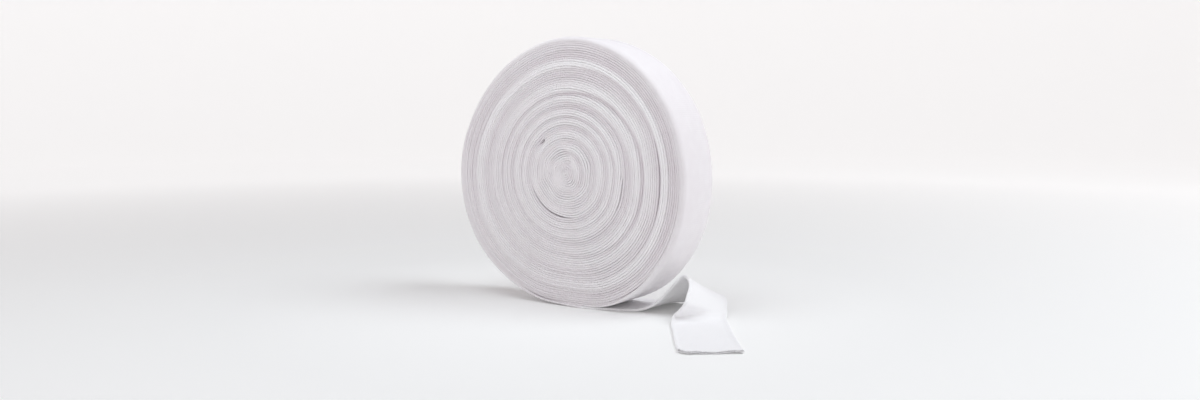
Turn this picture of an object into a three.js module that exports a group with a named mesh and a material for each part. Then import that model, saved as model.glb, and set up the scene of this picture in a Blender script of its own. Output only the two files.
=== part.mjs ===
// A roll of tubular cotton stockinette standing on its rim, with a short loose end
// that leaves the bottom of the roll, lifts into one soft arch and lies down again.
// Millimetres, +Z up. The roll's axis is Y, and the origin is the middle of the flat
// spot on which the roll stands. The loose end runs off towards +X, then towards -Y.

import * as THREE from 'three';

// ---- driving dimensions -------------------------------------------------------

const WIDTH = 52;              // flat width of the tube, so the width of the roll
const CENTRE_UP = 115;         // height of the roll's centre above the surface
const PLY = 1.7;               // one turn: the two layers of the flattened tube
const GAP = 0.3;               // clearance between the roll and its loose end
const FLAT_HALF = 15;          // half the length of the flat spot under the roll
const EDGE_ROUND = 3.5;        // soft rounding of the roll's two rims
const ROLL_SEGMENTS = 100;     // steps round the roll

// The wound roll isn't a true circle: it bulges at one shoulder and sags at its base.
// angle: degrees from the bottom, towards +X. radius: of the outermost turn there.
const OUTLINE = [
  { angle: 0, radius: 116.5 },
  { angle: 30, radius: 122.0 },
  { angle: 60, radius: 121.5 },
  { angle: 90, radius: 118.0 },
  { angle: 120, radius: 117.0 },
  { angle: 150, radius: 117.0 },
  { angle: 180, radius: 117.0 },
  { angle: 210, radius: 115.2 },
  { angle: 240, radius: 115.8 },
  { angle: 270, radius: 120.0 },
  { angle: 300, radius: 120.5 },
  { angle: 330, radius: 118.0 },
];

// Bands of turns stand proud of the roll's faces or sink below them.
// at: radius as a share of the roll's radius. sink: depth below the face's plane.
const FACE_BANDS = [
  { at: 0.950, sink: 0.2 },
  { at: 0.900, sink: 0.5 },
  { at: 0.860, sink: 1.5 },
  { at: 0.800, sink: 0.7 },
  { at: 0.720, sink: 1.9 },
  { at: 0.640, sink: 1.1 },
  { at: 0.600, sink: 2.1 },
  { at: 0.560, sink: 1.0 },
  { at: 0.470, sink: 1.9 },
  { at: 0.390, sink: 1.5 },
  { at: 0.350, sink: 4.2 },
  { at: 0.315, sink: 1.6 },
  { at: 0.210, sink: 1.0 },
  { at: 0.110, sink: 1.8 },
];
const CENTRE_SINK = 1.5;

// Sections across the loose end, from the roll to the cut end. near and far are its
// two folded edges, and up is the height of the underside above the surface.
const SECTIONS = [
  { nearX: 15.3, nearY: -26.0, nearUp: 0.0, farX: 15.3, farY: 26.0, farUp: 0.0 },
  { nearX: 38.0, nearY: -21.0, nearUp: 0.0, farX: 31.0, farY: 30.5, farUp: 0.0 },
  { nearX: 56.0, nearY: -15.5, nearUp: 0.0, farX: 47.5, farY: 35.0, farUp: 0.0 },
  { nearX: 67.0, nearY: -11.5, nearUp: 1.0, farX: 59.0, farY: 39.0, farUp: 0.0 },
  { nearX: 77.0, nearY: -9.5, nearUp: 5.0, farX: 70.0, farY: 41.0, farUp: 0.5 },
  { nearX: 86.0, nearY: -9.0, nearUp: 11.5, farX: 81.0, farY: 41.5, farUp: 1.5 },
  { nearX: 92.0, nearY: -7.5, nearUp: 18.5, farX: 91.0, farY: 42.5, farUp: 3.5 },
  { nearX: 97.5, nearY: -5.0, nearUp: 25.5, farX: 101.0, farY: 43.5, farUp: 6.0 },
  { nearX: 103.0, nearY: -2.5, nearUp: 31.0, farX: 110.0, farY: 45.5, farUp: 9.0 },
  { nearX: 111.0, nearY: -8.5, nearUp: 31.0, farX: 118.0, farY: 41.0, farUp: 8.5 },
  { nearX: 119.5, nearY: -20.0, nearUp: 27.0, farX: 125.5, farY: 31.0, farUp: 6.5 },
  { nearX: 122.5, nearY: -29.0, nearUp: 22.0, farX: 130.5, farY: 21.0, farUp: 4.5 },
  { nearX: 123.0, nearY: -34.5, nearUp: 16.0, farX: 135.5, farY: 12.0, farUp: 2.5 },
  { nearX: 118.0, nearY: -34.0, nearUp: 10.0, farX: 139.0, farY: 5.0, farUp: 1.2 },
  { nearX: 112.5, nearY: -34.0, nearUp: 4.5, farX: 143.0, farY: -4.5, farUp: 0.4 },
  { nearX: 114.5, nearY: -40.0, nearUp: 0.8, farX: 148.5, farY: -12.5, farUp: 0.0 },
  { nearX: 121.0, nearY: -51.0, nearUp: 0.0, farX: 155.5, farY: -23.0, farUp: 0.0 },
  { nearX: 134.0, nearY: -71.0, nearUp: 0.0, farX: 167.0, farY: -41.0, farUp: 0.0 },
  { nearX: 152.5, nearY: -100.5, nearUp: 0.0, farX: 186.0, farY: -69.5, farUp: 0.0 },
  { nearX: 169.0, nearY: -123.5, nearUp: 0.0, farX: 204.0, farY: -95.5, farUp: 0.0 },
];
const LENGTH_STEPS = 64;       // steps along the loose end
const WIDTH_STEPS = 8;         // steps across it

// ---- materials ----------------------------------------------------------------

const cotton = new THREE.MeshStandardMaterial({
  name: 'cotton_stockinette', color: '#e4e2e6', roughness: 0.95, metalness: 0,
});

// ---- helpers ------------------------------------------------------------------

// Builds a mesh from shared vertices and triangles.
function meshFrom(name, vertices, triangles) {
  const geometry = new THREE.BufferGeometry();
  const positions = vertices.flatMap((v) => [v.x, v.y, v.z]);
  geometry.setAttribute('position', new THREE.Float32BufferAttribute(positions, 3));
  geometry.setIndex(triangles.flat());
  geometry.computeVertexNormals();
  const mesh = new THREE.Mesh(geometry, cotton.clone());
  mesh.name = name;
  return mesh;
}

// Two triangles for each cell between closed loops of `count` vertices.
function bridge(triangles, from, to, count) {
  for (let i = 0; i < count; i += 1) {
    const next = (i + 1) % count;
    triangles.push([from + i, from + next, to + next]);
    triangles.push([from + i, to + next, to + i]);
  }
}

// ---- the wound roll -----------------------------------------------------------

// Radius of the outline at a share of a full circle from the bottom, towards +X: a
// smooth curve through the radii of the table.
function outlineRadius(share) {
  const places = OUTLINE.length;
  const first = Math.floor(share * places);
  const radii = [-1, 0, 1, 2].map((k) => OUTLINE[(first + k + places) % places].radius);
  const t = share * places - first;
  const slopeIn = (radii[2] - radii[0]) / 2;
  const slopeOut = (radii[3] - radii[1]) / 2;
  const rise = radii[2] - radii[1];
  return radii[1] + t * (slopeIn + t * (3 * rise - 2 * slopeIn - slopeOut
    + t * (slopeIn + slopeOut - 2 * rise)));
}

// The roll's outline in X and Z about its centre, starting at the step where the loose
// end leaves. From there the outermost turn lies one layer further in, above the loose
// end, and grows back to full size over the turn. Its lowest stretch is flat.
function rollOutline() {
  const stepShare = Math.asin(FLAT_HALF / CENTRE_UP) / (2 * Math.PI);
  const points = [];
  for (let i = 0; i < ROLL_SEGMENTS; i += 1) {
    const grown = i / ROLL_SEGMENTS;
    const share = (stepShare + grown) % 1;
    const angle = 2 * Math.PI * share;
    const radius = outlineRadius(share) - (PLY + GAP) * (1 - grown);
    const lowest = grown < 0.5 ? PLY + GAP : 0;
    points.push(new THREE.Vector2(
      radius * Math.sin(angle), Math.max(-radius * Math.cos(angle), lowest - CENTRE_UP)));
  }
  points.push(new THREE.Vector2(FLAT_HALF, -CENTRE_UP));
  return points;
}

// Rings from the middle of one face, over the rim, to the middle of the other.
// scale: share of the outline. side: place along the axis, from -1 to 1 of the width.
function rollRings() {
  const half = WIDTH / 2;
  const face = [...FACE_BANDS].reverse().map((band) => ({ scale: band.at, y: half - band.sink }));
  const rim = [0, 30, 60, 90].map((degrees) => {
    const turn = THREE.MathUtils.degToRad(degrees);
    const inset = EDGE_ROUND * (1 - Math.sin(turn));
    return { scale: 1 - inset / CENTRE_UP, y: half - EDGE_ROUND * (1 - Math.cos(turn)) };
  });
  const oneSide = [...face, ...rim];
  const otherSide = [...oneSide].reverse().map((ring) => ({ scale: ring.scale, y: -ring.y }));
  return [...oneSide, ...otherSide];
}

function woundRoll() {
  const outline = rollOutline();
  const count = outline.length;
  const vertices = [];
  const triangles = [];
  for (const ring of rollRings()) {
    for (const point of outline) {
      vertices.push(new THREE.Vector3(
        point.x * ring.scale, ring.y, CENTRE_UP + point.y * ring.scale));
    }
  }
  const ringCount = vertices.length / count;
  for (let k = 0; k + 1 < ringCount; k += 1) {
    bridge(triangles, k * count, (k + 1) * count, count);
  }
  const firstPole = vertices.length;
  const lastRing = (ringCount - 1) * count;
  vertices.push(new THREE.Vector3(0, WIDTH / 2 - CENTRE_SINK, CENTRE_UP));
  vertices.push(new THREE.Vector3(0, -WIDTH / 2 + CENTRE_SINK, CENTRE_UP));
  for (let i = 0; i < count; i += 1) {
    const next = (i + 1) % count;
    triangles.push([firstPole, next, i]);
    triangles.push([firstPole + 1, lastRing + i, lastRing + next]);
  }
  return meshFrom('wound_roll', vertices, triangles);
}

// ---- the loose end ------------------------------------------------------------

// Middle surface of the sheet: smooth curves along its two edges, joined straight.
function looseEndGrid() {
  const near = SECTIONS.map((s) => new THREE.Vector3(s.nearX, s.nearY, s.nearUp + PLY / 2));
  const far = SECTIONS.map((s) => new THREE.Vector3(s.farX, s.farY, s.farUp + PLY / 2));
  const nearEdge = new THREE.CatmullRomCurve3(near, false, 'centripetal');
  const farEdge = new THREE.CatmullRomCurve3(far, false, 'centripetal');
  const grid = [];
  for (let i = 0; i <= LENGTH_STEPS; i += 1) {
    const from = nearEdge.getPoint(i / LENGTH_STEPS);
    const to = farEdge.getPoint(i / LENGTH_STEPS);
    const row = [];
    for (let j = 0; j <= WIDTH_STEPS; j += 1) {
      row.push(new THREE.Vector3().lerpVectors(from, to, j / WIDTH_STEPS));
    }
    grid.push(row);
  }
  return grid;
}

// Direction out of the sheet's upper side at one point of the grid.
function sheetNormal(grid, i, j) {
  const before = grid[Math.max(i - 1, 0)][j];
  const after = grid[Math.min(i + 1, LENGTH_STEPS)][j];
  const left = grid[i][Math.max(j - 1, 0)];
  const right = grid[i][Math.min(j + 1, WIDTH_STEPS)];
  const along = new THREE.Vector3().subVectors(after, before);
  const across = new THREE.Vector3().subVectors(right, left);
  return along.cross(across).normalize();
}

// One closed loop round the sheet's section: the upper side from the near edge to the
// far one, a blunt point for the fold, the underside back, and the other fold.
function sectionLoop(grid, i) {
  const upper = [];
  const lower = [];
  for (let j = 0; j <= WIDTH_STEPS; j += 1) {
    const normal = sheetNormal(grid, i, j).multiplyScalar(PLY / 2);
    const inset = j === 0 || j === WIDTH_STEPS ? 0.5 : 1;
    upper.push(grid[i][j].clone().addScaledVector(normal, inset));
    lower.push(grid[i][j].clone().addScaledVector(normal, -inset));
  }
  const loop = [...upper, ...lower.reverse()];
  for (const point of loop) {
    point.z = Math.max(point.z, 0);
  }
  return loop;
}

function looseEnd() {
  const grid = looseEndGrid();
  const vertices = [];
  const triangles = [];
  const count = 2 * (WIDTH_STEPS + 1);
  for (let i = 0; i <= LENGTH_STEPS; i += 1) {
    vertices.push(...sectionLoop(grid, i));
  }
  for (let i = 0; i < LENGTH_STEPS; i += 1) {
    bridge(triangles, (i + 1) * count, i * count, count);
  }
  const last = LENGTH_STEPS * count;
  for (let j = 0; j < WIDTH_STEPS; j += 1) {
    const below = count - 1 - j;
    triangles.push([j, j + 1, below], [j + 1, below - 1, below]);
    triangles.push([last + j, last + below, last + j + 1]);
    triangles.push([last + j + 1, last + below, last + below - 1]);
  }
  return meshFrom('loose_end', vertices, triangles);
}

// ---- the part -----------------------------------------------------------------

const part = new THREE.Group();
part.add(woundRoll());
part.add(looseEnd());

export default part;
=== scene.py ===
# %% [markdown]
# # A roll of cotton stockinette
#
# Stockinette is a seamless tube of plain cotton knit. It is pressed flat into two
# layers and wound into a roll, which is sold by the length and cut off as needed.
# This lesson dresses a plain solid model of such a roll. It makes the real turns of
# the winding with Geometry Nodes, the loose end as a soft sheet, the yarn loops along
# its cut, and the cotton that they are all made of.

import math

import bmesh
import bpy
import numpy as np
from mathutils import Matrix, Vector


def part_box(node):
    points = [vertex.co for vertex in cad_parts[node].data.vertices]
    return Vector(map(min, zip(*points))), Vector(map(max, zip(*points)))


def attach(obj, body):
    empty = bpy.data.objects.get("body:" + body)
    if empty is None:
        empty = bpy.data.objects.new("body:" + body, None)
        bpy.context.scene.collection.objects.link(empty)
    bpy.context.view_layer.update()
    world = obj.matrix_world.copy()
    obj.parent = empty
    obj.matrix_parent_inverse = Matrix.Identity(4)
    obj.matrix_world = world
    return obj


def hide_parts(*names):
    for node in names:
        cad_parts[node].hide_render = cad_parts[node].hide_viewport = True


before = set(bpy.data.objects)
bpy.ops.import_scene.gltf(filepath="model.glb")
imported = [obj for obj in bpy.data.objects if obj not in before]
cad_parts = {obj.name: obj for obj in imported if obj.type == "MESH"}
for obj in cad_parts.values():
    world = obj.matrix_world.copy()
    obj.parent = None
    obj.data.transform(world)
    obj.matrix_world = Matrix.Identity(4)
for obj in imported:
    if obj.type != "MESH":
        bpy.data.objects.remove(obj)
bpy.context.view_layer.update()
ROLL_LOW, ROLL_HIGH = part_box("wound_roll")
END_LOW, END_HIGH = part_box("loose_end")
print("roll, lowest and highest corner:", ROLL_LOW, ROLL_HIGH)
print("loose end, lowest and highest corner:", END_LOW, END_HIGH)

# %% [markdown]
# ## Sizes
#
# Everything is in metres, in the solid model's own frame: the roll's axis is Y, Z is
# up, and the origin is the middle of the flat spot under the roll. The tube's width
# comes from the solid roll. The rest are estimates: the height of the roll's centre,
# how many turns a 25 yard length makes, and so the thickness of one turn.

# %% Sizes of the winding
MM = 0.001
TUBE_WIDTH = ROLL_HIGH[1] - ROLL_LOW[1]
CENTRE_UP = 115 * MM
TURNS = 61
LAYER = CENTRE_UP / TURNS
FLAT_HALF = 15 * MM
PLY = 1.7 * MM
YARD = 0.9144
LOOSE_LENGTH = 260 * MM
WOUND_LENGTH = 25 * YARD - LOOSE_LENGTH
print(f"{TURNS} turns, {LAYER / MM:.2f} mm each, {WOUND_LENGTH:.1f} m of tube")

# %% [markdown]
# ## Small helpers
#
# A node tree is a list of nodes and links. One function adds a node, sets its
# properties, and fills its inputs with a plain value or a link from another node. It
# returns the node's output as a `Value`. Long sums of nodes are hard to read, so they
# are written as plain arithmetic: each sign in them adds the Math node that works it
# out. Colours are written as hex values, as on a paint chart, and Blender works with
# linear light, so one function converts them.


# %% Helper: add a node with its settings and links
def add_node(tree, kind, settings=None, inputs=None):
    """Adds a node, and returns its output. Inputs are named by place or by label."""
    node = tree.nodes.new(kind)
    for name, setting in (settings or {}).items():
        setattr(node, name, setting)
    for key, given_value in (inputs or {}).items():
        if isinstance(given_value, Value):
            tree.links.new(given_value.socket(), node.inputs[key])
        else:
            node.inputs[key].default_value = given_value
    return Value(node)


# %% Helper: a node's output, which can be used in sums
class Value:
    """An output of a node: the one in use, or the one that has the given name."""

    def __init__(self, node, output=None):
        self.node = node
        self.output = output

    def __getitem__(self, output):
        return Value(self.node, output)

    def socket(self):
        if self.output is not None:
            return self.node.outputs[self.output]
        return next(socket for socket in self.node.outputs if socket.enabled)

    def maths(self, operation, *others):
        inputs = dict(enumerate((self, *others)))
        return add_node(self.node.id_data, "ShaderNodeMath", {"operation": operation}, inputs)

    def __add__(self, other):
        return self.maths("ADD", other)

    def __sub__(self, other):
        return self.maths("SUBTRACT", other)

    def __mul__(self, other):
        return self.maths("MULTIPLY", other)

    def __truediv__(self, other):
        return self.maths("DIVIDE", other)

    def __pow__(self, other):
        return self.maths("POWER", other)

    def __abs__(self):
        return self.maths("ABSOLUTE")

    def __rsub__(self, other):
        return self.maths("MULTIPLY_ADD", -1, other)


# %% Helper: colours from hex
def linear(hex_colour):
    """Turns a colour such as #F2F0F4 into linear red, green, blue and alpha."""
    shares = [int(hex_colour[i:i + 2], 16) / 255 for i in (1, 3, 5)]
    light = [s / 12.92 if s <= 0.04045 else ((s + 0.055) / 1.055) ** 2.4 for s in shares]
    return (*light, 1.0)


print("middle grey in linear light:", round(linear("#808080")[0], 3))

# %% [markdown]
# ## The camera
#
# The camera stands to the right, a little higher than the roll's centre, and looks
# slightly down. From close by, the near rim would look larger than the far one. From
# eight roll radii away the two look nearly alike. The lens only sets how much is seen.


# %% Helper: put an object into the scene
def add_object(name, data):
    thing = bpy.data.objects.new(name, data)
    bpy.context.scene.collection.objects.link(thing)
    return thing


# %% Camera
CAMERA_TURN = math.radians(34.0)
CAMERA_DOWN = math.radians(5.4)
CAMERA_AWAY = 8 * CENTRE_UP
CAMERA_ASIDE = 0.134 * CENTRE_UP
CAMERA_UP = 1.540 * CENTRE_UP
SENSOR_WIDTH = 36
LENS = 31.65

camera = add_object("camera", bpy.data.cameras.new("camera"))
camera.data.sensor_width = SENSOR_WIDTH
camera.data.lens = LENS
camera.location = (
    math.cos(CAMERA_TURN) * CAMERA_ASIDE + math.sin(CAMERA_TURN) * CAMERA_AWAY,
    math.sin(CAMERA_TURN) * CAMERA_ASIDE - math.cos(CAMERA_TURN) * CAMERA_AWAY,
    CAMERA_UP,
)
camera.rotation_euler = (math.pi / 2 - CAMERA_DOWN, 0, CAMERA_TURN)
bpy.context.scene.camera = camera
print("camera at", [round(c, 3) for c in camera.location])

# %% [markdown]
# ## The cotton
#
# ** Bleached cotton, plain knitted.** Knitted cotton scatters light: it has hardly any gloss, its colour is white, and tiny fibres stand off it and catch light at a grazing angle, which Blender calls sheen. Its colour is mixed towards a pinkish grey of painted shade. The knit is rows of V-shaped stitches. They could be modelled as yarn, but a roll has well over a million of them, so here they are a bump and painted shade between the stitches.
# Real stitches are about 1.3 mm wide, which is too fine to show on a whole roll, so
# they are drawn 2.4 mm wide. The pattern follows a UV map in metres, named `knit`: U
# runs across the tube and V along it, so the rows follow every turn and fold.

# %% Sizes and colours of the knit
STITCH_WIDE = 2.4 * MM
STITCH_TALL = 1.9 * MM
STITCH_DEEP = 0.30 * MM
LUMP_SIZE = 9 * MM
FUZZ_SIZE = 0.9 * MM
# The wound cotton's darker colour is painted shade, a pinkish grey, for the shade on the
# roll's face.
COTTON_LIGHT = linear("#FCFBFC")
COTTON_PAINTED_SHADE = linear("#D6CCD2")
# The loose end and the cut yarn are the same cotton, painted lighter for the light that falls
# on them; their darker colour is painted shade too.
OPEN_PAINTED_LIT_LIGHT = linear("#FCFCFD")
OPEN_PAINTED_LIT_SHADE = linear("#F1EFF1")
print(f"{TUBE_WIDTH / STITCH_WIDE:.0f} stitches across each layer of the tube")


# %% Helper: an empty material
def empty_material(name):
    """Makes a material, and returns it and its node tree with no nodes in it."""
    material = bpy.data.materials.new(name)
    material.use_nodes = True
    material.node_tree.nodes.clear()
    return material, material.node_tree


# %% [markdown]
# A stitch has two legs that lean away from its middle. `side` is 0 in the middle of the
# stitch and 0.5 at its edges, so a leg's crown is at 0.25. The lean moves the pattern
# along the tube as it goes to the side, which draws the V.

# %% Helper: the stitches
LEG_CROWN = 0.25
LEG_SLOPE = 12.0
LEG_LEAN = 1.6


def knit_stitches(tree):
    """The height of the stitches at each place of the `knit` UV map, from 0 to 1."""
    place = add_node(tree, "ShaderNodeUVMap", {"uv_map": "knit"})
    split = add_node(tree, "ShaderNodeSeparateXYZ", inputs={0: place})
    side = (split["X"] / STITCH_WIDE).maths("PINGPONG", 0.5)
    leg = 1.0 - (side - LEG_CROWN) ** 2 * LEG_SLOPE
    row = split["Y"] / STITCH_TALL + side * LEG_LEAN
    strand = (row * math.tau).maths("SINE") * 0.35 + 0.65
    return leg * strand


# %% [markdown]
# Both cottons, knit and bare yarn, end in the same shader. Its index of refraction is a
# rough value, a little under cotton's own of about 1.55. With a specular level this
# low, that changes less than a hundredth of the light seen head-on.

# %% Helper: the cotton's surface
COTTON_SURFACE = {"IOR": 1.47, "Specular IOR Level": 0.2,
                  "Sheen Weight": 0.15, "Sheen Roughness": 0.6}


def cotton_surface(tree, colour, rough, bump):
    shader = add_node(tree, "ShaderNodeBsdfPrincipled", inputs={
        "Base Color": colour, "Roughness": rough, "Normal": bump, **COTTON_SURFACE})
    add_node(tree, "ShaderNodeOutputMaterial", inputs={"Surface": shader})


# %% [markdown]
# The yarn is uneven, so soft lumps a few stitches long lie under the stitches, and fine fuzz
# lies over them. The colour is painted darker between the stitches and in the dips of the
# lumps, as painted shade. On the winding, an attribute adds a random tone for each turn, with
# painted shade on turns that have slipped in and painted light on proud ones.

# %% Helper: plain-knit cotton
KNIT_BUMP = 0.55
TONE_BASE = 0.38


def cotton_knit(name, light, shade, tone_and_shade_attribute=None):
    material, tree = empty_material(name)
    stitch = knit_stitches(tree)
    here = add_node(tree, "ShaderNodeTexCoord")["Object"]
    lumps = add_node(tree, "ShaderNodeTexNoise", inputs={
        "Vector": here, "Scale": 1 / LUMP_SIZE, "Detail": 2.0})
    fuzz = add_node(tree, "ShaderNodeTexNoise", inputs={
        "Vector": here, "Scale": 1 / FUZZ_SIZE, "Detail": 3.0})
    relief = stitch * 0.55 + fuzz * 0.35 + lumps * 0.5
    bump = add_node(tree, "ShaderNodeBump", inputs={
        "Strength": KNIT_BUMP, "Distance": STITCH_DEEP, "Height": relief})
    # Painted shade: darker between the stitches and in the dips of the lumps.
    tone = stitch * 0.25 + lumps * 0.2 + TONE_BASE
    if tone_and_shade_attribute:
        tone = tone + add_node(tree, "ShaderNodeAttribute",
                               {"attribute_name": tone_and_shade_attribute})["Fac"]
    tone = add_node(tree, "ShaderNodeClamp", inputs={"Value": tone})
    colour = add_node(tree, "ShaderNodeMix", {"data_type": "RGBA"},
                      {"Factor": tone, "A": shade, "B": light})
    cotton_surface(tree, colour, fuzz * 0.1 + 0.86, bump)
    return material


# %% [markdown]
# ** Bleached cotton yarn, cut.** Where the tube was cut, ends and loops of bare yarn stand out. They are the same cotton, in the loose end's colours that are painted lighter as lit, with only the twist of the yarn for a texture; it is painted darker in the dips of the twist as painted shade.

# %% Helper: cotton yarn
TWIST_SIZE = 0.5 * MM
TWIST_DEEP = 0.1 * MM
TWIST_BUMP = 0.5


def cotton_yarn(name):
    material, tree = empty_material(name)
    here = add_node(tree, "ShaderNodeTexCoord")["Object"]
    twist = add_node(tree, "ShaderNodeTexNoise", inputs={
        "Vector": here, "Scale": 1 / TWIST_SIZE, "Detail": 2.0})
    # Painted shade in the dips of the twist, on colours painted lighter as lit.
    colour = add_node(tree, "ShaderNodeMix", {"data_type": "RGBA"},
                      {"Factor": twist, "A": OPEN_PAINTED_LIT_SHADE, "B": OPEN_PAINTED_LIT_LIGHT})
    bump = add_node(tree, "ShaderNodeBump", inputs={
        "Strength": TWIST_BUMP, "Distance": TWIST_DEEP, "Height": twist})
    cotton_surface(tree, colour, twist * 0.1 + 0.85, bump)
    return material


# %% Make the three cottons
# The wound cotton carries painted shade, and the loose cotton and the yarn are copies painted
# lighter, as lit.
yarn_cotton = cotton_yarn("bleached_cotton_yarn_cut_painted_lit")
wound_cotton = cotton_knit("bleached_cotton_knit_wound_painted_shade", COTTON_LIGHT, COTTON_PAINTED_SHADE,
                           "turn_tone_and_painted_shade")
loose_cotton = cotton_knit("bleached_cotton_knit_loose_painted_lit", OPEN_PAINTED_LIT_LIGHT, OPEN_PAINTED_LIT_SHADE)
print("materials:", wound_cotton.name, loose_cotton.name, yarn_cotton.name)

# %% [markdown]
# ## The wound tube
#
# The winding is the main piece, and it follows a rule: a flat tube runs in a spiral
# from the middle to the outside, and every turn is one layer further out. A flat shape
# swept along a spiral curve would make it too, but then every turn would be alike. A
# Geometry Nodes tree can work out each point's place by itself, so it can bend, press
# and push single turns. The tree starts from a plain grid. One direction of the grid
# becomes the length of the tube, the other goes once round its flattened section, and
# each point is then moved to its place.
#
# Two short tables shape it. The first is the outline of the roll, which is not a
# true circle. The second says how far bands of turns have slipped below the roll's
# face. Both are drawn as smooth curves by Float Curve nodes.

# %% Table of the outline: degrees from the bottom towards +X, and millimetres
OUTLINE = [
    {"angle": 0, "radius": 116.5},
    {"angle": 30, "radius": 122.0},
    {"angle": 60, "radius": 121.5},
    {"angle": 90, "radius": 118.0},
    {"angle": 120, "radius": 117.0},
    {"angle": 150, "radius": 117.0},
    {"angle": 180, "radius": 117.0},
    {"angle": 210, "radius": 115.2},
    {"angle": 240, "radius": 116.6},
    {"angle": 270, "radius": 121.4},
    {"angle": 300, "radius": 121.8},
    {"angle": 330, "radius": 118.0},
    {"angle": 360, "radius": 116.5},
]
print(len(OUTLINE), "points in the outline")

# %% Table of the bands: place as a share of the radius, and millimetres slipped in
FACE_BANDS = [
    {"at": 0.000, "sink": 1.4},
    {"at": 0.070, "sink": 1.8},
    {"at": 0.110, "sink": 1.3},
    {"at": 0.150, "sink": 1.9},
    {"at": 0.190, "sink": 1.1},
    {"at": 0.245, "sink": 1.8},
    {"at": 0.300, "sink": 1.0},
    {"at": 0.352, "sink": 2.1},
    {"at": 0.398, "sink": 1.0},
    {"at": 0.422, "sink": 1.9},
    {"at": 0.460, "sink": 0.8},
    {"at": 0.512, "sink": 2.2},
    {"at": 0.545, "sink": 1.2},
    {"at": 0.575, "sink": 0.9},
    {"at": 0.603, "sink": 2.5},
    {"at": 0.635, "sink": 0.8},
    {"at": 0.675, "sink": 1.2},
    {"at": 0.715, "sink": 1.8},
    {"at": 0.750, "sink": 2.0},
    {"at": 0.785, "sink": 1.8},
    {"at": 0.825, "sink": 0.4},
    {"at": 0.850, "sink": 0.6},
    {"at": 0.885, "sink": 2.3},
    {"at": 0.915, "sink": 2.2},
    {"at": 0.940, "sink": 2.0},
    {"at": 1.000, "sink": 1.7},
]
print(len(FACE_BANDS), "points across the bands")


# %% Helpers: draw a curve's points, and blend two values
def draw_curve(curve_node, points):
    """Gives a Float Curve node the points, whose x and y lie between 0 and 1."""
    curve = curve_node.mapping.curves[0]
    curve.points[0].location = points[0]
    curve.points[1].location = points[-1]
    for x, y in points[1:-1]:
        curve.points.new(x, y)
    curve_node.mapping.update()


def blend(share, low, high):
    """Goes from low to high as the share goes from 0 to 1."""
    return (high - low) * share + low


print("halfway from 2 to 6:", blend(0.5, 2, 6))

# %% [markdown]
# The tree has named inputs for its sizes. `Steps` and `Round` set how fine the grid
# is: 4900 steps along the tube and 18 points round its section stay under two
# hundred thousand triangles.


# %% Helper: a tree with named inputs
def new_tree(name, named_inputs, takes_mesh=False):
    """Makes a Geometry Nodes tree, and returns it and the values of its inputs."""
    tree = bpy.data.node_groups.new(name, "GeometryNodeTree")
    for in_out in ("OUTPUT", "INPUT") if takes_mesh else ("OUTPUT",):
        tree.interface.new_socket("Geometry", in_out=in_out, socket_type="NodeSocketGeometry")
    for label, (kind, value) in named_inputs.items():
        socket = tree.interface.new_socket(label, in_out="INPUT", socket_type=kind)
        socket.default_value = value
    return tree, add_node(tree, "NodeGroupInput")


# %% Inputs of the winding tree
WIND_INPUTS = {
    "Steps": ("NodeSocketInt", 4900),
    "Round": ("NodeSocketInt", 18),
    "Turns": ("NodeSocketFloat", float(TURNS)),
    "Layer": ("NodeSocketFloat", LAYER),
    "Width": ("NodeSocketFloat", TUBE_WIDTH),
    "Centre Height": ("NodeSocketFloat", CENTRE_UP),
    "Fold Depth": ("NodeSocketFloat", 0.85 * MM),
    "Corner": ("NodeSocketFloat", 3.3 * MM),
    "Unevenness": ("NodeSocketFloat", 0.8 * MM),
    "Seed": ("NodeSocketFloat", 7.0),
}
wind, given = new_tree("wind_the_tube", WIND_INPUTS)
print("inputs:", ", ".join(WIND_INPUTS))

# %% [markdown]
# ### Along the tube
#
# A grid one metre square gives two numbers for each point, both from 0 to 1: its step
# along the tube, and its place round the tube's section. From the first come the angle,
# the turn, and `turn_share`, the share of the radius at which that turn lies. Steps of
# equal length would leave the short inner turns too few points to look round, and
# equal angles would waste points there. A power of the step lies between the two.
#
# The last turn has to end at the bottom, where the loose end leaves it, so angles are
# counted back from there. The very last step runs on inside the start of the loose
# end, so no gap shows where the two pieces meet.

# %% Nodes: place along the spiral
SPREAD = 0.7
STEP_TURN = SPREAD * TURNS / WIND_INPUTS["Steps"][1]
END_ANGLE = math.asin(FLAT_HALF / CENTRE_UP) + STEP_TURN * math.tau
LEAST_SHARE = 0.002

grid = add_node(wind, "GeometryNodeMeshGrid", inputs={
    "Size X": 1.0, "Size Y": 1.0,
    "Vertices X": given["Round"] + 1, "Vertices Y": given["Steps"]})
spot = add_node(wind, "ShaderNodeSeparateXYZ", inputs={
    0: add_node(wind, "GeometryNodeInputPosition")})
around = spot["X"] + 0.5
step_share = spot["Y"] + 0.5

angle_share = step_share ** SPREAD
turn = angle_share * given["Turns"]
turns_left = given["Turns"] - turn
angle = END_ANGLE - turns_left * math.tau
sine = angle.maths("SINE")
cosine = angle.maths("COSINE")
turn_share = ((turn - 0.5) / given["Turns"]).maths("MAXIMUM", LEAST_SHARE)
print(f"the winding ends {math.degrees(END_ANGLE):.1f} degrees past the bottom")

# %% [markdown]
# In a few places the winding was slack, and the turns inside have been pressed in by
# a millimetre or so, which leaves a slit. Each slit has a place, as a share of the
# radius and an angle, a width, and how many degrees it spreads to each side. `scale`
# is where a turn lies after that. A soft ramp, with no corner at its ends, is a Map
# Range node that is set to Smooth Step.

# %% Nodes: the slits
SOFT = {"interpolation_type": "SMOOTHSTEP"}
SLITS = [
    {"share": 0.326, "angle": 326, "wide": 1.5 * MM, "spread": 50},
    {"share": 0.487, "angle": 76, "wide": 0.9 * MM, "spread": 20},
    {"share": 0.790, "angle": 90, "wide": 1.1 * MM, "spread": 24},
]

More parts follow.
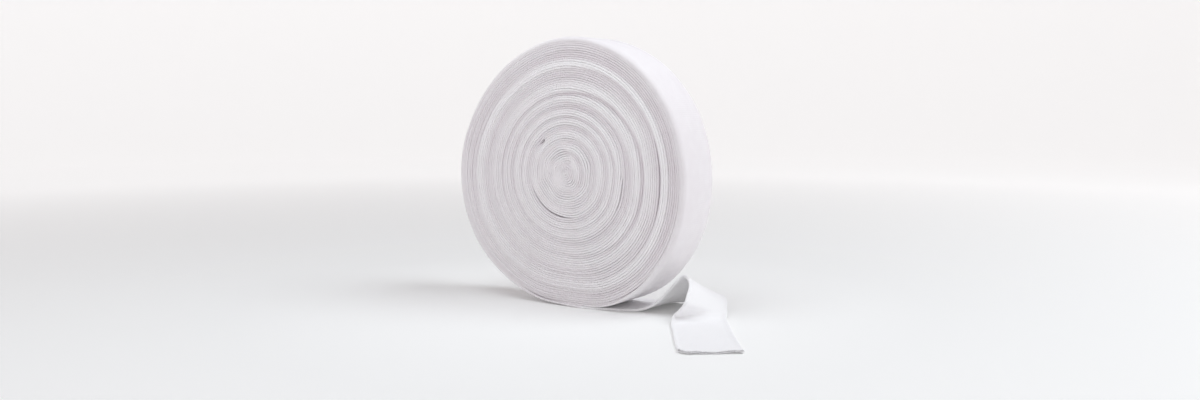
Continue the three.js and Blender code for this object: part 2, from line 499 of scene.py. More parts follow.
pressed_in = 1.0
for slit in SLITS:
    inside = turn_share.maths("LESS_THAN", slit["share"])
    towards_slit = (angle - math.radians(slit["angle"])).maths("COSINE")
    beside = add_node(wind, "ShaderNodeMapRange", SOFT, {
        "Value": towards_slit,
        "From Min": math.cos(math.radians(slit["spread"])), "From Max": 1.0})
    press = slit["wide"] / (slit["share"] * CENTRE_UP)
    pressed_in = pressed_in - inside * beside * press
scale = turn_share * pressed_in
print(len(SLITS), "slits,", len(wind.nodes), "nodes so far")

# %% [markdown]
# ### The outline
#
# The outline's radius at this angle comes from the first table. The inner turns are
# rounder than the outer ones, so it is blended with a plain circle. The roll's weight
# presses its foot flat, over a stretch that fades inwards: a smooth maximum rounds the
# ends of the flat spot over 5 mm. It also lifts the middle of it by a hair, so the
# floor is taken 0.3 mm too low.

# %% Nodes: outline of the roll
RADIUS_UNIT = 150
ROUND_RADIUS = 118 * MM
FLAT_BLEND = 5 * MM
FLAT_SETTLES = 0.3 * MM

circle_share = (angle / math.tau).maths("FRACT")
radius = add_node(wind, "ShaderNodeFloatCurve", inputs={"Value": circle_share})
draw_curve(radius.node, [(p["angle"] / 360, p["radius"] / RADIUS_UNIT) for p in OUTLINE])
shaped = add_node(wind, "ShaderNodeMapRange", SOFT, {
    "Value": scale, "From Min": 0.2, "From Max": 0.92})
radius = blend(shaped, ROUND_RADIUS, radius * (RADIUS_UNIT * MM))

outline_x = radius * sine
round_z = radius * cosine * -1
flat_z = round_z.maths("SMOOTH_MAX", -FLAT_SETTLES - given["Centre Height"], FLAT_BLEND)
pressed_flat = add_node(wind, "ShaderNodeMapRange", SOFT, {
    "Value": scale, "From Min": 0.6, "From Max": 1.0})
outline_z = blend(pressed_flat, round_z, flat_z)
print("nodes so far:", len(wind.nodes))

# %% [markdown]
# ### Uneven turns
#
# No turn lies exactly on the one below it. A noise that changes slowly round the roll,
# and more from turn to turn, moves the two edges of each turn in and out by different
# amounts, and opens and closes the winding by a hair.

# %% Nodes: slow noise along the turns
NOISE_SPAN = 150 * MM
NEAR_NOISE, FAR_NOISE, SQUEEZE_NOISE, TONE_NOISE = 0.0, 9.0, 21.0, 33.0
SQUEEZE = 0.06 / TURNS


def turn_noise(offset, quickness):
    """Noise from -2 to 2 that drifts round the roll and from turn to turn."""
    where = add_node(wind, "ShaderNodeCombineXYZ", inputs={
        "X": outline_x * scale / NOISE_SPAN,
        "Y": outline_z * scale / NOISE_SPAN,
        "Z": given["Seed"] + offset})
    noise = add_node(wind, "ShaderNodeTexNoise", {"noise_dimensions": "4D"}, {
        "Vector": where, "W": turn * quickness, "Scale": 1.0, "Detail": 1.0})
    return noise * 4.0 - 2.0


near_shift = turn_noise(NEAR_NOISE, 0.8) * given["Unevenness"]
far_shift = turn_noise(FAR_NOISE, 0.8) * given["Unevenness"]
squeeze = turn_noise(SQUEEZE_NOISE, 0.5) * SQUEEZE
print("nodes so far:", len(wind.nodes))

# %% [markdown]
# ### Round the section
#
# Flattened, the tube's section is a long thin loop: two straight layers that meet in
# a rounded fold at each edge. Half of the section's points go to each fold, because
# that is where the curve is. `side` is +1 at one fold and -1 at the other. The turns
# near the middle are held more evenly, so their edges are shifted less.

# %% Nodes: angle round the section, and the shift of its folds
section_angle = ((around * given["Round"] + 0.5) / given["Round"]).maths("FRACT") * math.tau
side = section_angle.maths("SINE").maths("SIGN")
at_near = side.maths("LESS_THAN", 0.0)
held = add_node(wind, "ShaderNodeMapRange", SOFT, {
    "Value": scale, "From Min": 0.12, "From Max": 0.30, "To Min": 0.5, "To Max": 1.0})
shift = blend(at_near, far_shift, near_shift) * held
print("nodes so far:", len(wind.nodes))

# %% [markdown]
# ### The bands
#
# The bands of turns aren't quite round the roll's centre: `band_place` is the share of
# the radius, moved a little to the right and downwards, and further where the outer
# bands lean over to the right. They are also uneven in depth. They are deepest at the
# right and at the top and fade towards the lower left, but the outermost ones keep at
# least seven tenths of their depth.

# %% Nodes: how far the folds have slipped in
SINK_UNIT = 10
BANDS_SMALLER = 1.03
BANDS_ASIDE = 0.02
BANDS_LEAN = 0.055
STRENGTH, STRONGER_RIGHT, STRONGER_UP = 0.64, 0.26, 0.30

lean_starts = add_node(wind, "ShaderNodeMapRange", SOFT, {
    "Value": scale, "From Min": 0.45, "From Max": 0.65})
lean_ends = add_node(wind, "ShaderNodeMapRange", SOFT, {
    "Value": scale, "From Min": 0.83, "From Max": 0.77})
lean = sine.maths("MAXIMUM", 0.0) * lean_starts * lean_ends
off_centre = BANDS_SMALLER - (sine + cosine) * BANDS_ASIDE
band_place = scale * off_centre - lean * BANDS_LEAN
band = add_node(wind, "ShaderNodeFloatCurve", inputs={"Value": band_place})
draw_curve(band.node, [(p["at"], p["sink"] / SINK_UNIT) for p in FACE_BANDS])

outermost_bands = add_node(wind, "ShaderNodeMapRange", SOFT, {
    "Value": scale, "From Min": 0.90, "From Max": 0.96, "To Min": 0.0, "To Max": 0.7})
band_strength = sine * STRONGER_RIGHT - cosine * STRONGER_UP + STRENGTH
band_strength = band_strength.maths("MAXIMUM", outermost_bands)
sink = band * band_strength * (SINK_UNIT * MM)
print("nodes so far:", len(wind.nodes))

# %% [markdown]
# One small pocket has opened beside the core, where a fold was pushed in. Its depth
# falls off around its middle as a bell curve does.

# %% Nodes: the pocket
POCKET_X = -25.8 * MM
POCKET_UP = 25.7 * MM
POCKET_DEEP = 8 * MM
POCKET_WIDE = 2.0 * MM
pocket_x = outline_x * scale - POCKET_X
pocket_z = outline_z * scale - POCKET_UP
from_pocket = pocket_x * pocket_x + pocket_z * pocket_z
pocket = (from_pocket / -POCKET_WIDE ** 2).maths("EXPONENT") * at_near * POCKET_DEEP
print("nodes so far:", len(wind.nodes))

# %% [markdown]
# ### The outermost turn
#
# The outermost turn is different: nothing holds its folds, so they roll over the
# edges of the turns below and give the roll its soft corners. `outer` is 1 on most of
# that turn. It grows at the turn's start and fades where the loose end leaves. The two
# turns below it are pushed in to make room for it.

# %% Nodes: the outermost turn and the two below it
CORNER_TURN = math.radians(90)
PUSHED_IN = {1: 4.3 * MM, 2: 1.6 * MM}


def under_corner(turns_in):
    """1 on the turn that lies so many turns below the outermost one, and else 0."""
    place = turns_left - turns_in
    begins = add_node(wind, "ShaderNodeMapRange", SOFT, {
        "Value": place, "From Min": 1.0, "From Max": 0.86})
    ends = add_node(wind, "ShaderNodeMapRange", SOFT, {
        "Value": place, "From Min": 0.0, "From Max": 0.12})
    return begins * ends


outer = under_corner(0)
below_outer = add_node(wind, "ShaderNodeMapRange", SOFT, {
    "Value": turns_left, "From Min": 0.93, "From Max": 1.0})
sink = sink * below_outer + pocket
for turns_in, depth in PUSHED_IN.items():
    sink = blend(under_corner(turns_in), sink, depth)
calm = add_node(wind, "ShaderNodeMapRange", SOFT, {
    "Value": scale, "From Min": 1.0, "From Max": 0.9, "To Min": 0.3, "To Max": 1.0})
shift = shift * calm
print("nodes so far:", len(wind.nodes))

# %% [markdown]
# The section is drawn from `section_angle` as a long thin loop. `reach` is how far a
# point is from the middle of the tube's width, and `proud` is how far it lies above
# the middle of the two layers. A power below 1 makes the folds fuller than an ellipse.
# On the outermost turn the fold's points are spread over the whole corner.

# %% Nodes: the flattened section
FOLD_SQUARENESS = 0.7
LAYER_FILLED = 0.98
CORNER_SPAN = 1.4

half_width = given["Width"] * 0.5 - sink - abs(shift)
half_layer = given["Layer"] * (LAYER_FILLED / 2)
corner_run = given["Corner"] * CORNER_TURN
fold = blend(outer, given["Fold Depth"], corner_run * CORNER_SPAN)
layer_side = section_angle.maths("COSINE")
proud = abs(layer_side) ** FOLD_SQUARENESS * layer_side.maths("SIGN") * half_layer
reach = abs(section_angle.maths("SINE")) * fold + (half_width - fold)
print("nodes so far:", len(wind.nodes))

# %% [markdown]
# Past the start of the corner the section bends towards the axis. `bend` is how far
# it has turned, which is almost nothing on every turn but the outermost. It is never
# quite nothing, because the arc's run and drop are divided by it.

# %% Nodes: bend the section round the corner
NO_BEND = 0.0001
straight = half_width - corner_run
over = (reach - straight).maths("MAXIMUM", 0.0)
bend = (outer * (over / given["Corner"])).maths("MAXIMUM", NO_BEND)
bend_sine = bend.maths("SINE")
bend_cosine = bend.maths("COSINE")
arc_run = over * (bend_sine / bend)
arc_drop = over * ((1.0 - bend_cosine) / bend)
axial = side * (reach.maths("MINIMUM", straight) + arc_run + proud * bend_sine)
raised = proud * bend_cosine - arc_drop
print("nodes so far:", len(wind.nodes))

# %% [markdown]
# ### The crumpled core
#
# The tube's first few turns were wound with no core to wind on, so they are crumpled.
# A noise pushes them sideways. It depends on the place alone, so turns that lie
# together stay together.

# %% Nodes: the crumpled core
CRUMPLE_SIZE = 16 * MM
CRUMPLE_MOST = 7 * MM
CRUMPLE_AXIAL = 0.8

crumple_at = add_node(wind, "ShaderNodeCombineXYZ", inputs={
    "X": outline_x * scale, "Y": given["Seed"], "Z": outline_z * scale})
crumple_noise = add_node(wind, "ShaderNodeTexNoise", inputs={
    "Vector": crumple_at, "Scale": 1 / CRUMPLE_SIZE, "Detail": 0.5})
crumple = add_node(wind, "ShaderNodeSeparateXYZ", inputs={0: crumple_noise["Color"]})
crumple_by = add_node(wind, "ShaderNodeMapRange", SOFT, {
    "Value": scale, "From Min": 0.33, "From Max": 0.08,
    "To Min": 0.0, "To Max": CRUMPLE_MOST})
crumple_x = (crumple["X"] - 0.5) * crumple_by
crumple_z = (crumple["Y"] - 0.5) * crumple_by
crumple_in = (crumple["Z"] - 0.5) * crumple_by * CRUMPLE_AXIAL
print("nodes so far:", len(wind.nodes))

# %% [markdown]
# ### Put each point in its place
#
# The two ends of the tube are pinched shut, which closes the mesh: there the layers
# don't stand proud. No point may pass the roll's own outline by more than a hair.
# Turns that have slipped in are given painted shade, and proud turns painted light, for the
# shade that falls into the recessed bands.

# %% Nodes: the position and the tone of each point
SCALE_MOST = 1.005
BAND_SHADE_GAIN = 3.0
BAND_MIDDLE = 0.15
TURN_TONE = 0.08

from_end = step_share.maths("MINIMUM", 1.0 - step_share)
open_share = (from_end * given["Steps"]).maths("MINIMUM", 1.0)
full_scale = scale + squeeze + open_share * (raised / given["Centre Height"])
full_scale = full_scale.maths("MINIMUM", SCALE_MOST)
position = add_node(wind, "ShaderNodeCombineXYZ", inputs={
    "X": outline_x * full_scale + crumple_x,
    "Y": side * crumple_in + axial,
    "Z": outline_z * full_scale + (crumple_z + given["Centre Height"])})

# Painted shade on turns that have slipped in, painted light on proud ones.
band_painted_shade = (BAND_MIDDLE - band) * BAND_SHADE_GAIN * band_strength * below_outer
tone = turn_noise(TONE_NOISE, 0.9) * TURN_TONE + band_painted_shade
print("nodes so far:", len(wind.nodes))

# %% [markdown]
# The position is set, the first and last column of the grid are merged, and the knit's UV map
# and the tone of each turn, with its painted shade, are stored for the material. The length
# used up by a spiral grows with the square of its angle, which gives the map's V.

# %% Nodes: store, place and finish
MERGE_WITHIN = 0.01 * MM

knit = add_node(wind, "ShaderNodeCombineXYZ", inputs={
    "X": side * (reach - proud), "Y": angle_share ** 2 * WOUND_LENGTH})
with_knit = add_node(wind, "GeometryNodeStoreNamedAttribute",
                     {"data_type": "FLOAT2", "domain": "CORNER"},
                     {"Geometry": grid, "Name": "knit", "Value": knit})
with_tone = add_node(wind, "GeometryNodeStoreNamedAttribute",
                     {"data_type": "FLOAT", "domain": "POINT"},
                     {"Geometry": with_knit, "Name": "turn_tone_and_painted_shade", "Value": tone})
placed = add_node(wind, "GeometryNodeSetPosition",
                  inputs={"Geometry": with_tone, "Position": position})
merged = add_node(wind, "GeometryNodeMergeByDistance",
                  inputs={"Geometry": placed, "Distance": MERGE_WITHIN})
smooth = add_node(wind, "GeometryNodeSetShadeSmooth", inputs={"Geometry": merged})
realized = add_node(wind, "GeometryNodeRealizeInstances", inputs={"Geometry": smooth})
finished = add_node(wind, "GeometryNodeSetMaterial",
                    inputs={"Geometry": realized, "Material": wound_cotton})
add_node(wind, "NodeGroupOutput", inputs={"Geometry": finished})
print("nodes in the winding tree:", len(wind.nodes))

# %% [markdown]
# ### Run the tree
#
# The tree runs as a modifier on an empty mesh. Its inputs are set by their
# identifiers before it is first evaluated, and `new_from_object` turns the result
# into a plain mesh, so that no modifier is left on the finished piece.


# %% Helper: run a tree and keep its mesh
def mesh_from_tree(name, tree, named_inputs, start_mesh=None):
    carrier = add_object(name, start_mesh or bpy.data.meshes.new(name))
    modifier = carrier.modifiers.new(tree.name, "NODES")
    modifier.node_group = tree
    for item in tree.interface.items_tree:
        if item.in_out == "INPUT" and item.name in named_inputs:
            modifier[item.identifier] = named_inputs[item.name][1]
    graph = bpy.context.evaluated_depsgraph_get()
    mesh = bpy.data.meshes.new_from_object(carrier.evaluated_get(graph))
    carrier.modifiers.remove(modifier)
    carrier.data = mesh
    mesh.name = name
    return carrier


# %% Helper: turn the faces outwards
def face_outwards(piece):
    """Recalculates the normals so that they point out of the closed mesh."""
    mesh = bmesh.new()
    mesh.from_mesh(piece.data)
    bmesh.ops.recalc_face_normals(mesh, faces=mesh.faces)
    open_edges = sum(1 for edge in mesh.edges if len(edge.link_faces) != 2)
    mesh.to_mesh(piece.data)
    volume = mesh.calc_volume(signed=True)
    mesh.free()
    print(f"{piece.name}: {len(piece.data.polygons)} faces, {open_edges} open edges, "
          f"{volume * 1e6:.0f} ml")


# %% Wind the tube
wound = mesh_from_tree("wound_tube", wind, WIND_INPUTS)
face_outwards(wound)

# %% [markdown]
# ## The loose end
#
# The last stretch has come off the roll. It lies flat where it leaves, then its inner
# edge springs up in an arch as the tube turns, and it lies down again to its cut end.
# A cloth simulation would let it fall some other way each time a size is changed. The folds
# are particular to this piece, so it is modelled one section at a time: its two folded edges
# are drawn through a short table of sections, and a grid of points fills the sheet between
# them. `up` is the height of the underside.

# %% Table of sections across the loose end, in millimetres
SECTION_COLUMNS = ("near_x", "near_y", "near_up", "far_x", "far_y", "far_up")
SECTION_ROWS = [
    (15.3, -26.0, 0.0, 15.3, 26.0, 0.0),
    (38.0, -21.0, 0.0, 31.0, 30.5, 0.0),
    (56.0, -15.5, 0.0, 47.5, 35.0, 0.0),
    (67.0, -11.5, 1.0, 59.0, 39.0, 0.0),
    (77.0, -9.5, 5.0, 70.0, 41.0, 0.5),
    (86.0, -9.0, 11.5, 81.0, 41.5, 1.5),
    (92.0, -7.5, 18.5, 91.0, 42.5, 3.5),
    (97.5, -5.0, 25.5, 101.0, 43.5, 6.0),
    (103.0, -2.5, 31.0, 110.0, 45.5, 9.0),
    (111.0, -8.5, 31.0, 118.0, 41.0, 8.5),
    (119.5, -20.0, 27.0, 125.5, 31.0, 6.5),
    (122.5, -29.0, 22.0, 130.5, 21.0, 4.5),
    (123.0, -34.5, 16.0, 135.5, 12.0, 2.5),
    (118.0, -34.0, 10.0, 139.0, 5.0, 1.2),
    (112.5, -34.0, 4.5, 143.0, -4.5, 0.4),
    (114.5, -40.0, 0.8, 148.5, -12.5, 0.0),
    (121.0, -51.0, 0.0, 155.5, -23.0, 0.0),
    (134.0, -71.0, 0.0, 167.0, -41.0, 0.0),
    (152.5, -100.5, 0.0, 186.0, -69.5, 0.0),
    (169.0, -123.5, 0.0, 204.0, -95.5, 0.0),
]
table = dict(zip(SECTION_COLUMNS, np.array(SECTION_ROWS).T * MM))
near_points = np.stack([table["near_x"], table["near_y"], table["near_up"]], axis=1)
far_points = np.stack([table["far_x"], table["far_y"], table["far_up"]], axis=1)
print(len(SECTION_ROWS), "sections across the loose end")


# %% Helper: a smooth curve through points
def between(start, end, from_knot, to_knot, knot):
    return ((to_knot - knot) * start + (knot - from_knot) * end) / (to_knot - from_knot)


def smooth_curve(points, count):
    """A centripetal Catmull-Rom curve: it doesn't overshoot where points are close."""
    points = np.vstack([2 * points[0] - points[1], points, 2 * points[-1] - points[-2]])
    spans = len(points) - 3
    result = []
    for share in np.linspace(0, spans, count):
        first = min(int(share), spans - 1)
        p = points[first:first + 4]
        gaps = np.sqrt(np.linalg.norm(np.diff(p, axis=0), axis=1))
        k = np.concatenate([[0], np.cumsum(gaps)])
        here = k[1] + (share - first) * (k[2] - k[1])
        a = [between(p[i], p[i + 1], k[i], k[i + 1], here) for i in range(3)]
        b = [between(a[i], a[i + 1], k[i], k[i + 2], here) for i in range(2)]
        result.append(between(b[0], b[1], k[1], k[2], here))
    return np.array(result)


def length_along(points):
    """The length of the line up to each of its points."""
    steps = np.linalg.norm(np.diff(points, axis=0), axis=1)
    return np.concatenate([[0], np.cumsum(steps)])


# %% [markdown]
# The cut isn't quite straight: the near corner is trimmed off and the edge wavers. So
# each line along the tube is drawn in by its own amount, over its last stretch.

# %% Grid of the middle surface
ALONG_STEPS = 220
ACROSS_STEPS = 32
CORNER_CUT = 7 * MM
CORNER_SHARE = 0.16
CORNER_POWER = 2.2
WAVER = 0.5 * MM
DRAWN_IN_FROM = 0.85

near_line = smooth_curve(near_points, ALONG_STEPS + 1)
far_line = smooth_curve(far_points, ALONG_STEPS + 1)
width_share = np.linspace(0, 1, ACROSS_STEPS + 1)
row_share = np.arange(ALONG_STEPS + 1) / ALONG_STEPS
cut_back = CORNER_CUT * np.clip(1 - width_share / CORNER_SHARE, 0, 1) ** CORNER_POWER
cut_back += WAVER * (1 + np.sin(23 * width_share + 1) * np.sin(9 * width_share))
middle = np.empty((ALONG_STEPS + 1, ACROSS_STEPS + 1, 3))
for column, share in enumerate(width_share):
    line = near_line * (1 - share) + far_line * share
    passed = length_along(line)
    pull = cut_back[column] * np.clip((row_share - DRAWN_IN_FROM) / (1 - DRAWN_IN_FROM), 0, 1)
    for axis in range(3):
        middle[:, column, axis] = np.interp(passed - pull, passed, line[:, axis])
middle[:, :, 2] += PLY / 2
run = length_along(middle[:, ACROSS_STEPS // 2])
END_LENGTH = float(run[-1])
print(f"loose end: {END_LENGTH / MM:.0f} mm along its middle")

# %% [markdown]
# The cloth is two layers that touch, so its thickness changes a little: it is fullest
# at the folds and thinner between them. A few soft dents and a slight curl at the cut
# end keep it from looking like card. The dents are waves that run aslant, given by how
# many radians they turn along the tube and across it.

# %% Thickness, dents and curl
DENTS = [
    {"deep": 0.45, "along": 9.0, "across": 4.0, "start": 0.0},
    {"deep": 0.35, "along": 17.0, "across": -6.0, "start": 1.3},
    {"deep": 0.20, "along": 31.0, "across": 11.0, "start": 0.4},
]
BEAD_WIDE = 2.2 * MM
BEAD_FULLER = 0.62
BEAD_RAISED = 0.35 * MM
FLAT_FULLNESS = 0.86
DENT_FULLNESS = 0.10
DENT_DEEP = 0.5 * MM
LIFTED_AT = 3 * MM
CURL_LONG = 6 * MM
CURL_HIGH = 0.5 * MM

along_share = (run / END_LENGTH)[:, None]
across_share = width_share[None, :]
dents = sum(
    wave["deep"] * np.sin(wave["along"] * along_share + wave["across"] * across_share
                          + wave["start"])
    for wave in DENTS
)
from_fold = np.minimum(across_share, 1 - across_share) * TUBE_WIDTH
loosened = np.clip(along_share / 0.2, 0, 1)
bead = np.exp(-(from_fold / BEAD_WIDE) ** 2) * loosened
half_thick = 0.5 * PLY * (FLAT_FULLNESS + DENT_FULLNESS * dents + BEAD_FULLER * bead)
off_floor = np.clip((middle[:, :, 2] - PLY / 2) / LIFTED_AT, 0, 1)
curl = np.exp(-(1 - along_share) * END_LENGTH / CURL_LONG)
middle[:, :, 2] += curl * CURL_HIGH * (1 + np.sin(9 * across_share))
middle[:, :, 2] += BEAD_RAISED * bead
middle[:, :, 2] += DENT_DEEP * off_floor * dents
print(f"thickness: {2 * half_thick.min() / MM:.2f} to {2 * half_thick.max() / MM:.2f} mm")


# %% Directions out of the sheet
def unit(vectors):
    return vectors / np.linalg.norm(vectors, axis=-1, keepdims=True)


down_the_tube = np.gradient(middle, axis=0)
across_the_tube = np.gradient(middle, axis=1)
upwards = unit(np.cross(down_the_tube, across_the_tube))
outwards = unit(across_the_tube)
print("directions at", upwards.shape[0] * upwards.shape[1], "points")

# %% [markdown]
# Each section of the sheet is a closed loop: along the top, round the far fold, back
# along the underside and round the near fold. At the roll the loops are capped. At the
# cut end the loop turns inwards instead, so that the mouth of the tube shows as a thin
# gap between its two layers.

# %% Helper: one loop round the sheet
FOLD_POINTS = 3
FOLD_TURNS = [math.pi * (k + 1) / (FOLD_POINTS + 1) for k in range(FOLD_POINTS)]


def section_loop(row, thick_share=1.0, push=0.0):
    """The loop of one row, thinner by a share and pushed back into the tube."""
    thick = half_thick[row][:, None] * thick_share
    top = middle[row] + upwards[row] * thick
    base = middle[row] - upwards[row] * thick
    folds = {}
    for edge, sign in ((0, -1), (-1, 1)):
        folds[edge] = [
            middle[row, edge]
            + upwards[row, edge] * thick[edge] * math.cos(fold_turn)
            + outwards[row, edge] * sign * thick[edge] * math.sin(fold_turn)
            for fold_turn in FOLD_TURNS
        ]
    loop = np.array([*top, *folds[-1], *base[::-1], *folds[0][::-1]])
    loop = loop - unit(down_the_tube[row].mean(axis=0)) * push
    loop[:, 2] = np.maximum(loop[:, 2], 0)
    return loop


print(len(section_loop(0)), "points in each loop")

# %% Build the sheet from its loops
MOUTH = [
    {"thick": 0.30, "push": 0.1 * MM},
    {"thick": 0.22, "push": 2.5 * MM},
    {"thick": 0.10, "push": 6.0 * MM},
]
loops = [section_loop(row) for row in range(ALONG_STEPS + 1)]
loops += [section_loop(ALONG_STEPS, step["thick"], step["push"]) for step in MOUTH]

loose_mesh = bmesh.new()
rings = [[loose_mesh.verts.new(point) for point in loop] for loop in loops]
for before, after in zip(rings, rings[1:]):
    for i in range(len(before)):
        j = (i + 1) % len(before)
        loose_mesh.faces.new((before[i], after[i], after[j], before[j]))
loose_mesh.faces.new(rings[0])
loose_mesh.faces.new(rings[-1][::-1])
bmesh.ops.recalc_face_normals(loose_mesh, faces=loose_mesh.faces)
print("faces in the loose end:", len(loose_mesh.faces))

# %% [markdown]
# The UV map has U across the tube, the same on both layers, and V along it, going on
# from where the winding's V ends.

# %% The knit's UV map
loop_u = [*width_share, *[1.0] * FOLD_POINTS, *width_share[::-1], *[0.0] * FOLD_POINTS]
knit_place = {
    vert: ((u - 0.5) * TUBE_WIDTH, WOUND_LENGTH + run[min(n, ALONG_STEPS)])
    for n, ring in enumerate(rings)
    for vert, u in zip(ring, loop_u)
}
knit_layer = loose_mesh.loops.layers.uv.new("knit")
for face in loose_mesh.faces:
    face.smooth = True
    for corner in face.loops:
        corner[knit_layer].uv = knit_place[corner.vert]

loose = add_object("loose_tube_end", bpy.data.meshes.new("loose_tube_end"))
loose_mesh.to_mesh(loose.data)
loose_mesh.free()
loose.data.materials.append(loose_cotton)
face_outwards(loose)

# %% [markdown]
# ## The cut edge
#
# A knit that is cut across frees a row of small yarn loops. They could be hair curves,
# but a finished piece here is a plain mesh. They all follow one rule, so a second
# Geometry Nodes tree sets them along the two layers' edges: each is a bent yarn, turned
# and scaled a little at random, with a fixed seed.

# %% Two lines along the cut, one for each layer
LINES_UP = 0.15 * MM
cut_loop = section_loop(ALONG_STEPS)
base_from = ACROSS_STEPS + 1 + FOLD_POINTS
top_line = cut_loop[:ACROSS_STEPS + 1]
base_line = cut_loop[base_from:base_from + ACROSS_STEPS + 1][::-1]
edge_points = np.vstack([top_line, base_line]) + [0, 0, LINES_UP]
edge_links = [(k, k + 1) for k in range(len(edge_points) - 1) if k != ACROSS_STEPS]
cut_mesh = bpy.data.meshes.new("cut_lines")
cut_mesh.from_pydata(edge_points.tolist(), edge_links, [])
print(len(edge_links), "short edges along the cut")

# %% Inputs of the fringe tree
FRINGE_INPUTS = {
    "Loops": ("NodeSocketInt", 44),
    "Loop Width": ("NodeSocketFloat", 0.9 * MM),
    "Loop Length": ("NodeSocketFloat", 1.5 * MM),
    "Yarn Radius": ("NodeSocketFloat", 0.15 * MM),
    "Seed": ("NodeSocketInt", 11),
}
fringe, given = new_tree("loops_along_the_cut", FRINGE_INPUTS, takes_mesh=True)
print("inputs:", ", ".join(FRINGE_INPUTS))

# %% Nodes: one yarn loop
half_loop = given["Loop Width"] * 0.5
start = add_node(fringe, "ShaderNodeCombineXYZ", inputs={"X": half_loop * -1})
tip = add_node(fringe, "ShaderNodeCombineXYZ", inputs={"Y": given["Loop Length"] * -2})
end = add_node(fringe, "ShaderNodeCombineXYZ", inputs={"X": half_loop})
bent = add_node(fringe, "GeometryNodeCurveQuadraticBezier", inputs={
    "Resolution": 6, "Start": start, "Middle": tip, "End": end})
yarn_round = add_node(fringe, "GeometryNodeCurvePrimitiveCircle", inputs={
    "Resolution": 5, "Radius": given["Yarn Radius"]})
yarn = add_node(fringe, "GeometryNodeCurveToMesh", inputs={
    "Curve": bent, "Profile Curve": yarn_round, "Fill Caps": True})
print("nodes in the fringe tree so far:", len(fringe.nodes))

# %% Nodes: one loop at each point of the cut
LEAST_TURN, MOST_TURN = (-0.35, -0.4, -0.5), (0.05, 0.4, 0.5)
line = add_node(fringe, "GeometryNodeMeshToCurve", inputs={0: given["Geometry"]})
spots = add_node(fringe, "GeometryNodeCurveToPoints", {"mode": "COUNT"},
                 {"Curve": line, "Count": given["Loops"]})
along_edge = add_node(fringe, "FunctionNodeAlignRotationToVector", {"axis": "X"},
                      {"Vector": spots["Tangent"]})
size = add_node(fringe, "FunctionNodeRandomValue", {"data_type": "FLOAT"},
                {"Min": 0.6, "Max": 1.25, "Seed": given["Seed"]})
turned = add_node(fringe, "FunctionNodeRandomValue", {"data_type": "FLOAT_VECTOR"},
                  {"Min": LEAST_TURN, "Max": MOST_TURN, "Seed": given["Seed"]})
loops_there = add_node(fringe, "GeometryNodeInstanceOnPoints", inputs={
    "Points": spots["Points"], "Instance": yarn, "Rotation": along_edge, "Scale": size})
loops_turned = add_node(fringe, "GeometryNodeRotateInstances", inputs={
    "Instances": loops_there, "Rotation": turned})
realized = add_node(fringe, "GeometryNodeRealizeInstances", inputs={0: loops_turned})
smooth = add_node(fringe, "GeometryNodeSetShadeSmooth", inputs={0: realized})
finished = add_node(fringe, "GeometryNodeSetMaterial",
                    inputs={"Geometry": smooth, "Material": yarn_cotton})
add_node(fringe, "NodeGroupOutput", inputs={"Geometry": finished})
print("nodes in the fringe tree:", len(fringe.nodes))

# %% Set the loops along the cut
cut_edge = mesh_from_tree("cut_edge_loops", fringe, FRINGE_INPUTS, cut_mesh)
face_outwards(cut_edge)
print("lowest yarn:", round(min(v.co.z for v in cut_edge.data.vertices) / MM, 2), "mm")

# %% [markdown]
# ## Floor and light
#
# A studio floor of matt white paper sweeps up into a backdrop, so that no horizon
# shows. It could be one bent plane, but a round one looks the same from every side.

# %% Shape of the floor
FLOOR_RADIUS = 2.4
SWEEP_OUT = 1.4
SWEEP_UP = 1.5
SWEEP_STEPS = 12
SPOKES = 72
sweeps = [math.pi / 2 * step / SWEEP_STEPS for step in range(SWEEP_STEPS + 1)]
floor_profile = [(FLOOR_RADIUS + SWEEP_OUT * math.sin(sweep),
                  SWEEP_UP * (1 - math.cos(sweep))) for sweep in sweeps]
spoke_angles = [math.tau * k / SPOKES for k in range(SPOKES)]

floor_mesh = bmesh.new()
floor_rings = [
    [floor_mesh.verts.new((radius * math.cos(a), radius * math.sin(a), height))
     for a in spoke_angles]
    for radius, height in floor_profile
]
floor_mesh.faces.new(floor_rings[0])
for inner, outward in zip(floor_rings, floor_rings[1:]):
    for k in range(SPOKES):
        m = (k + 1) % SPOKES
        floor_mesh.faces.new((inner[k], outward[k], outward[m], inner[m])).smooth = True
floor = add_object("floor", bpy.data.meshes.new("floor"))
floor_mesh.to_mesh(floor.data)
floor_mesh.free()
print("floor:", len(floor.data.polygons), "faces")

# %% [markdown]
# **Matt white paper.** It gives the eye an even, pale ground. In a studio the backdrop
# has lamps of its own, so here the paper glows a little, and more further out.

# %% Material: matt white paper
GLOW_FROM, GLOW_TO = 0.30, 1.6
LEAST_GLOW, MOST_GLOW = 0.05, 0.44
paper, tree = empty_material("matt_white_paper")
from_middle = add_node(tree, "ShaderNodeVectorMath", {"operation": "LENGTH"}, {
    0: add_node(tree, "ShaderNodeTexCoord")["Object"]})
glow = add_node(tree, "ShaderNodeMapRange", inputs={
    "Value": from_middle, "From Min": GLOW_FROM, "From Max": GLOW_TO,
    "To Min": LEAST_GLOW, "To Max": MOST_GLOW})
shader = add_node(tree, "ShaderNodeBsdfPrincipled", inputs={
    "Base Color": linear("#F4F4F3"), "Roughness": 0.9,
    "Emission Color": linear("#FFFFFF"), "Emission Strength": glow})
add_node(tree, "ShaderNodeOutputMaterial", inputs={"Surface": shader})
floor.data.materials.append(paper)
print("floor material:", paper.name)

# %% [markdown]
# A pale sky fills the shade, and three round soft lamps light the roll. The key lamp
# stands high on the right, behind the plane of the near face, so the rim is bright and
# the face lies in soft shade, where each band still shows. A small lamp above the front
# brushes the face from the top. A weak one, low on the right, lights the foot of the
# rim. In the table, `turn` is the way round from the front and `up` the angle above
# the floor, both in degrees.

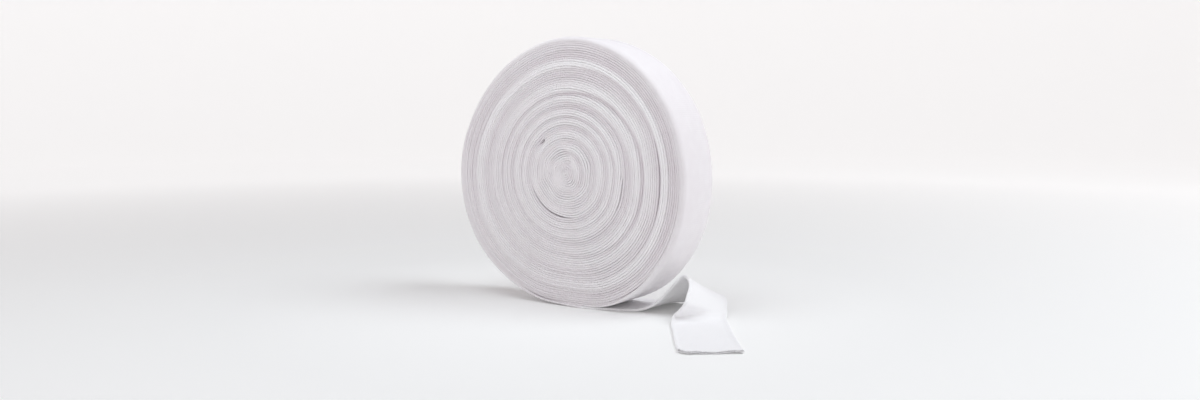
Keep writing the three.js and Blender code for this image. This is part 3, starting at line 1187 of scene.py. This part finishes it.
# %% Sky
SKY_STRENGTH = 0.300
world = bpy.data.worlds.new("pale_studio")
world.use_nodes = True
background = world.node_tree.nodes["Background"]
background.inputs["Color"].default_value = linear("#FFF5F7")
background.inputs["Strength"].default_value = SKY_STRENGTH
bpy.context.scene.world = world
bpy.context.scene.view_settings.view_transform = "Standard"
print("sky strength:", SKY_STRENGTH)

# %% Lamps
LAMP_COLOUR = linear("#F4FBFF")[:3]
LAMPS = [
    {"name": "key", "turn": 112, "up": 55, "away": 1.8, "size": 1.1, "watts": 14.3},
    {"name": "top", "turn": -14, "up": 68, "away": 0.72, "size": 0.5, "watts": 1.9},
    {"name": "low", "turn": 92, "up": 12, "away": 1.2, "size": 0.8, "watts": 0.7},
]
roll_centre = Vector((0, 0, CENTRE_UP))
for lamp in LAMPS:
    turn_angle = math.radians(lamp["turn"])
    up_angle = math.radians(lamp["up"])
    direction = Vector((math.sin(turn_angle) * math.cos(up_angle),
                        -math.cos(turn_angle) * math.cos(up_angle), math.sin(up_angle)))
    light = add_object(lamp["name"], bpy.data.lights.new(lamp["name"], "AREA"))
    light.data.shape = "DISK"
    light.data.size = lamp["size"]
    light.data.energy = lamp["watts"]
    light.data.color = LAMP_COLOUR
    light.location = roll_centre + direction * lamp["away"]
    light.rotation_euler = direction.to_track_quat("Z", "Y").to_euler()
    print(f"{lamp['name']}: {lamp['watts']} W, {lamp['away']} m away")

# %% [markdown]
# ## Attach each piece to its body
#
# All three pieces ride on the only body there is, `root`. The wound tube stands in for
# the plain solid roll, and the loose end and its yarn loops for the plain loose end.
# Two of them are sheets of cloth, and the wound one is very long. The yarn loops go
# with the loose end's sheet.

# %% Attach each piece, and hide the part it stands in for
for piece, node, material_slot in (
    (wound, "wound_roll", "wound_stockinette"),
    (loose, "loose_end", "loose_stockinette"),
    (cut_edge, "loose_end", "loose_stockinette"),
):
    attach(piece, "root")
    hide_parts(node)
print("flat sizes:", [round(TUBE_WIDTH, 3), round(WOUND_LENGTH, 1)],
      [round(TUBE_WIDTH, 3), round(END_LENGTH, 3)])
